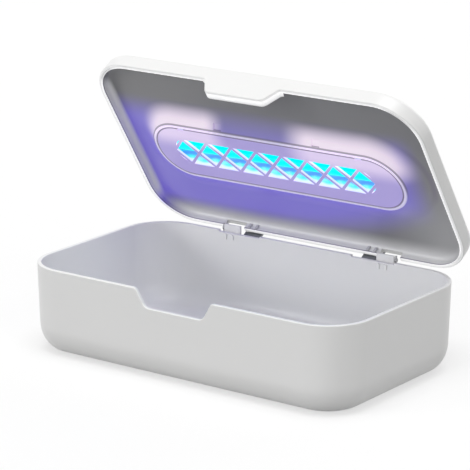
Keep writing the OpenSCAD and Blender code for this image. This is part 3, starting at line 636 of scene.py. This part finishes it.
def notch_outline(shrink, lift, steps=12):
    """Two slopes with a round at each end; shrink makes the tongue, and lift carries both ends up."""
    slope = math.atan2(notch_depth, (notch_w - notch_bottom_w) / 2)
    foot = notch_bottom_w / 2 - notch_low_r * math.tan(slope / 2)
    head = notch_w / 2 - shrink / math.sin(slope) + notch_top_r * math.tan(slope / 2)
    low_r = notch_low_r - shrink
    turns = [slope * i / steps for i in range(steps + 1)]
    right = [(foot + low_r * math.sin(a), notch_low_r - notch_depth - low_r * math.cos(a)) for a in turns]
    right += [(head - notch_top_r * math.sin(a), notch_top_r * (math.cos(a) - 1)) for a in reversed(turns)]
    return [(head, lift), *reversed(right), *[(-x, z) for x, z in right], (-head, lift)]


def shifted(outline, dz):
    return [(x, z + dz) for x, z in outline]


# %% [markdown]
# ## Hinge stations
# Each hinge is a white bracket on the tub and a steel leaf on the lid. They hang on two prongs each,
# pushed through slots in the walls, and the rims are cut back for them.

# %% Hinge stations
hinge_x, hinge_gap, leaf_w, barrel_w, ear_w, curl_w = 49.8, 0.3, 12.3, 12.3, 3, 1.8
prong_x, slot_half_w, slot_low, slot_high = 2.3, 0.6, 0.1, 3.3
bracket_slot_z, leaf_slot_z, recess_depth, recess_h = 47.9, 0.8, 5.6, 4.3
leaf_x1 = hinge_x - hinge_gap / 2
leaf_x0 = leaf_x1 - leaf_w
barrel_x0, ear_x0 = leaf_x1 + hinge_gap, leaf_x0 - hinge_gap - ear_w
barrel_x1 = barrel_x0 + barrel_w
curl_x1 = barrel_x1 + curl_w


def slots(middle, z, y0, y1):
    return [block(middle + s * prong_x - slot_half_w, middle + s * prong_x + slot_half_w, y0, y1,
                  z - slot_low, z + slot_high) for s in (-1, 1)]


def both_sides(makers):
    tools = []
    for make in makers:
        for side in (1, -1):
            for tool in make():
                if side < 0:
                    bmesh.ops.scale(tool, vec=(-1, 1, 1), verts=tool.verts)
                tools.append(tool)
    return tools


# %% [markdown]
# ## Tub
# A thin white moulding: leaning walls, a wide round under them, and a notch in the front rim for a
# fingertip and the lid's tongue. The rim's two edges are softened, which gives the bright line there.

# %% Tub
def lean(z):
    return tub_draft * (tub_h - z) / tub_h


waist_z, rim_zone, notch_zone = 40, 51.5, 41


def tub_side(wall):
    curve = [(lean(base_h) + wall + a, base_h - b) for a, b in quarter(base_w - wall, base_h - wall, 14)]
    return [(wall, tub_h), (wall + lean(waist_z), waist_z), *curve]


tub = moulded_shell(box_w, box_d, corner_r, [*reversed(tub_side(0)), *tub_side(tub_wall)])
cuts = [prism_y(shifted(notch_outline(0, 1), tub_h), -half_d - 1, -half_d + 6)]
cuts += both_sides([
    lambda: [block(ear_x0 - hinge_gap, curl_x1 + hinge_gap, half_d - 5, half_d + 3, tub_h - 1, tub_h + 1)],
    lambda: slots((barrel_x0 + barrel_x1) / 2, bracket_slot_z, half_d - 5, half_d + 1),
])
tub = carve(tub, cuts)
soften(tub, 0.55, where=lambda p: p.z > rim_zone or p.z > notch_zone and p.y < 0)
piece(tub, "tub_shell_moulded", white, "base", "tub_shell")

# %% [markdown]
# ## Lid cover
# The outer half of the lid is the same form turned over, with a tongue that fills the notch.

# %% Lid cover
lid_side = [(0, 0)] + [(a, lid_h - lid_round_h + b) for a, b in quarter(lid_round_w, lid_round_h)]
lid_inside = [(cover_wall, 0)] + [(cover_wall + a, lid_h - lid_round_h + b)
                                  for a, b in quarter(lid_round_w - cover_wall, lid_round_h - cover_wall)]
button_y, button_hole_r, light_x, light_hole_r = 22 - half_d, 7.3, 14, 1.4
inlet_half_w, inlet_z0, inlet_z1 = 3.9, 7.1, 9.6


def round_hole(x, y, radius, z0, z1):
    bm = bmesh.new()
    bmesh.ops.create_cone(bm, cap_ends=True, segments=64, radius1=radius, radius2=radius, depth=z1 - z0)
    bmesh.ops.translate(bm, vec=(x, y, (z0 + z1) / 2), verts=bm.verts)
    return bm


def hinge_recess():
    return [block(barrel_x0 - hinge_gap, curl_x1 + hinge_gap, half_d - recess_depth, half_d + 3, -1, recess_h)]


def leaf_slots():
    return slots((leaf_x0 + leaf_x1) / 2, leaf_slot_z, half_d - recess_depth, half_d + 1)


def on_outer_rim(point):
    x, y = max(abs(point.x) - box_w / 2 + corner_r, 0), max(abs(point.y) - half_d + corner_r, 0)
    return point.z < 0.05 and math.hypot(x, y) > corner_r - 0.1


cover = moulded_shell(box_w, box_d, corner_r, [*reversed(lid_side), *lid_inside])
cover = carve(cover, [prism_y(notch_outline(notch_gap, 1), -half_d, -half_d + cover_wall)], "UNION")
cover = carve(cover, [round_hole(0, button_y, button_hole_r, 9, 13),
                      round_hole(light_x, button_y, light_hole_r, 9, 13),
                      block(-inlet_half_w, inlet_half_w, half_d - 4.8, half_d + 2, inlet_z0, inlet_z1),
                      *both_sides([hinge_recess, leaf_slots])])
soften(cover, 0.9, where=on_outer_rim)
soften(cover, 0.3, where=lambda p: not on_outer_rim(p) and p.z > -0.05 and p.y > -half_d + 1.2)
piece(cover, "lid_cover_moulded", white_lit, "lid", "lid_cover", on_lid)

# %% [markdown]
# ## Liner
# The inner half of the lid is one thin sheet: a lip, a shallow dish, and a long low pod that rises round
# the lamp. The dish is one shell and the pod is another, a ring, and the two are joined where they overlap.


# %% Liner
pod_steepness, skirt_steps, behind_from, behind_steps, hole_r = 1.8, 20, 0.22, 12, 36
pocket_x, pocket_y, pocket_half_w, pocket_half_h, pocket_floor = 35.2, 24.1, 2.8, 2.15, 0.7
pocket_lean = math.radians(-33.4)


def pod_height(t):
    return -lamp_drop + (dish_h + lamp_drop) * (1 - (1 - t) ** pod_steepness)


def pod_point(t, thickness=0):
    """The inset and height of the pod's skirt: t is 0 at its crest and 1 at its foot."""
    return pod_r1 - (pod_r0 + (pod_r1 - pod_r0) * t), pod_height(t) + thickness


dish = [(liner_in, dish_h + liner_wall), (liner_in, 0),
        (rim_band - 0.3, 0), (rim_band - 0.09, 0.09), (rim_band, 0.3)]
dish += [(rim_band + a, dish_h - dish_round + b) for a, b in quarter(dish_round, dish_round)]
skirt = [pod_point(t) for t in [1 - i / skirt_steps for i in range(skirt_steps)]]
behind = [pod_point(t, liner_wall) for t in
          [behind_from + (1 - behind_from) * i / behind_steps for i in range(behind_steps + 1)]]
seat = ((21.4, -0.62), (21.05, -0.76), (20.7, -0.8), (19.65, -0.8), (19.47, -0.72), (seat_r, -0.5),
        (seat_r, ledge_h), (ledge_r, ledge_h), (ledge_r, ledge_top), (19.5, ledge_top))
edge = [(pod_r1 - r, h) for r, h in seat]
liner = moulded_shell(box_w, box_d, corner_r, dish)
hole = moulded_shell(2 * (pod_half + hole_r), 2 * hole_r, hole_r, [(0, dish_h - 1), (0, dish_h + 3)],
                     segments=28)
liner = carve(liner, [hole])
pod = moulded_shell(2 * (pod_half + pod_r1), 2 * pod_r1, pod_r1, skirt + edge + behind + [skirt[0]],
                    segments=28, closed_ring=True)
liner = carve(liner, [pod], "UNION")
tongue = prism_y(notch_outline(notch_gap, 6.5), liner_in - half_d, 5.6 - half_d)
liner = carve(liner, [tongue], "UNION")
liner = carve(liner, both_sides([hinge_recess, leaf_slots]))
soften(liner, 0.45, angle=50, where=lambda p: p.y < -60 and abs(p.x) < 32)
pockets = []
for x in (-pocket_x, pocket_x):
    pocket = block(-pocket_half_w, pocket_half_w, -pocket_half_h, pocket_half_h, -4, pocket_floor)
    bmesh.ops.rotate(pocket, matrix=Matrix.Rotation(pocket_lean, 3, "X"), verts=pocket.verts)
    place = (x, -pocket_y, pod_height((pocket_y - pod_r0) / (pod_r1 - pod_r0)))
    bmesh.ops.translate(pocket, vec=place, verts=pocket.verts)
    pockets.append(pocket)
mark = block(-6.6, 0.2, liner_in - half_d + 0.1, liner_in - half_d + 2.1, -12, -10)
liner = carve(liner, [*pockets, mark])
piece(liner, "lid_liner_moulded", liner_lit, "lid", "lid_liner", on_lid)


# %% [markdown]
# ## Small solids, merged and softened
# The rest are right as they are, but a solid from a drawing has razor edges. A copy is merged, its flats
# are cleaned, and its edges are broken by a tenth or two of a millimetre, as a deburred part's are.


# %% Small pieces
def dressed(node, material, width, name, angle=30, segments=2):
    bm = bmesh.new()
    bm.from_mesh(nodes[node].data)
    bmesh.ops.scale(bm, vec=(1000, 1000, 1000), verts=bm.verts)
    bmesh.ops.remove_doubles(bm, verts=bm.verts, dist=1e-3)
    bmesh.ops.dissolve_limit(bm, angle_limit=math.radians(0.5), verts=bm.verts, edges=bm.edges)
    soften(bm, width, angle=angle, segments=segments)
    return piece(bm, name, material, nodes[node]["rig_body"], node)


for side in ("left", "right"):
    dressed("hinge_bracket_" + side, hinge_white, 0.15, "hinge_bracket_deburred_" + side)
    dressed("hinge_leaf_" + side, hinge_steel, 0.12, "hinge_leaf_deburred_" + side)
dressed("lamp_cover", cover_lit_lilac, 0.2, "lamp_cover_polished")
dressed("power_button", white_lit, 0.3, "power_button_moulded")
dressed("tub_feet", rubber_grey, 0.3, "tub_feet_soft")

# %% [markdown]
# ## Pieces inside
# What can only be seen through the window, or not at all, keeps its solid as it is and takes a finish.

# %% Finishes of the pieces inside
for node, material in {
    "interlock_magnet": plate_zinc, "hinge_pin_left": wire_steel, "hinge_pin_right": wire_steel,
    "reflector": reflector_lit, "lamp_tube": tube_glow, "lamp_holder_left": holder_lit,
    "lamp_holder_right": holder_lit, "driver_board": board_green, "step_up_transformer": winding_tape,
    "battery_cell": foil, "charge_board": board_green, "charge_socket": plate_zinc,
    "button_switch": dark_plastic, "status_light": clear_guide, "interlock_sensor": dark_plastic,
    "liner_screws": plate_zinc, "lid_leads": lead_red,
}.items():
    nodes[node].data.materials.clear()
    nodes[node].data.materials.append(material)

# %% [markdown]
# ## Floor and light
# Five wide soft lights stand round a white sweep: right, left, front, back and top, at the strengths that
# gave the walls, the corners and the inside of the tub their tones, with a weak even sky. The floor throws
# back a natural share of the light, and is lifted to white only where the camera sees it.


# %% Floor and light
def seen_directly(tree):
    path = add_node(tree, "LightPath")
    first = add_node(tree, "Math", operation="MAXIMUM")
    both = add_node(tree, "Math", operation="MAXIMUM")
    tree.links.new(path.outputs["Is Camera Ray"], first.inputs[0])
    tree.links.new(path.outputs["Is Glossy Ray"], first.inputs[1])
    tree.links.new(first.outputs[0], both.inputs[0])
    tree.links.new(path.outputs["Is Transmission Ray"], both.inputs[1])
    return both.outputs[0]


floor_grey, floor_lift, floor_half, foot_z, sky_grey = 0.35, 0.62, 6, -0.0008, 0.42
floor_finish = bpy.data.materials.new("white sweep")
floor_finish.use_nodes = True
tree = floor_finish.node_tree
surface = tree.nodes["Principled BSDF"]
surface.inputs["Roughness"].default_value = 0.9
surface.inputs["Specular IOR Level"].default_value = 0.0
surface.inputs["Base Color"].default_value = (floor_grey, floor_grey, floor_grey, 1)
surface.inputs["Emission Color"].default_value = (1, 1, 1, 1)
tree.links.new(calculate(tree, "MULTIPLY", seen_directly(tree), floor_lift),
               surface.inputs["Emission Strength"])
bm = bmesh.new()
bmesh.ops.create_grid(bm, x_segments=1, y_segments=1, size=floor_half)
bmesh.ops.translate(bm, vec=(0, 0, foot_z), verts=bm.verts)
mesh = bpy.data.meshes.new("floor")
bm.to_mesh(mesh)
bm.free()
mesh.materials.append(floor_finish)
floor = bpy.data.objects.new("floor", mesh)
scene.collection.objects.link(floor)

world = bpy.data.worlds.new("sky")
scene.world = world
world.use_nodes = True
tree = world.node_tree
sky_mix = add_node(tree, "Mix", {"A": (sky_grey, sky_grey, sky_grey, 1), "B": (1, 1, 1, 1)},
                   data_type="RGBA")
tree.links.new(seen_directly(tree), sky_mix.inputs["Factor"])
tree.links.new(sky_mix.outputs["Result"], tree.nodes["Background"].inputs["Color"])

for name, towards, spread, strength in (
    ("right light", (0.9, -0.3, 0.45), 35, 0.13),
    ("left light", (-0.62, -0.75, 0.25), 20, 0.25),
    ("front light", (0.1, -1, 0.15), 40, 0.1),
    ("top light", (0.1, -0.15, 1), 40, 0.5),
    ("back light", (-0.1, 0.85, 0.5), 40, 0.1),
):
    lamp = bpy.data.objects.new(name, bpy.data.lights.new(name, "SUN"))
    lamp.data.energy = strength * math.pi
    lamp.data.angle = math.radians(spread)
    lamp.rotation_euler = Vector(towards).to_track_quat("Z", "Y").to_euler()
    scene.collection.objects.link(lamp)
    print(name, "strength", round(lamp.data.energy, 2))

scene.view_settings.view_transform = "Standard"

# %% [markdown]
# ## Last update
# The last cell brings the view layer up to date.

# %% Last update
bpy.context.view_layer.update()
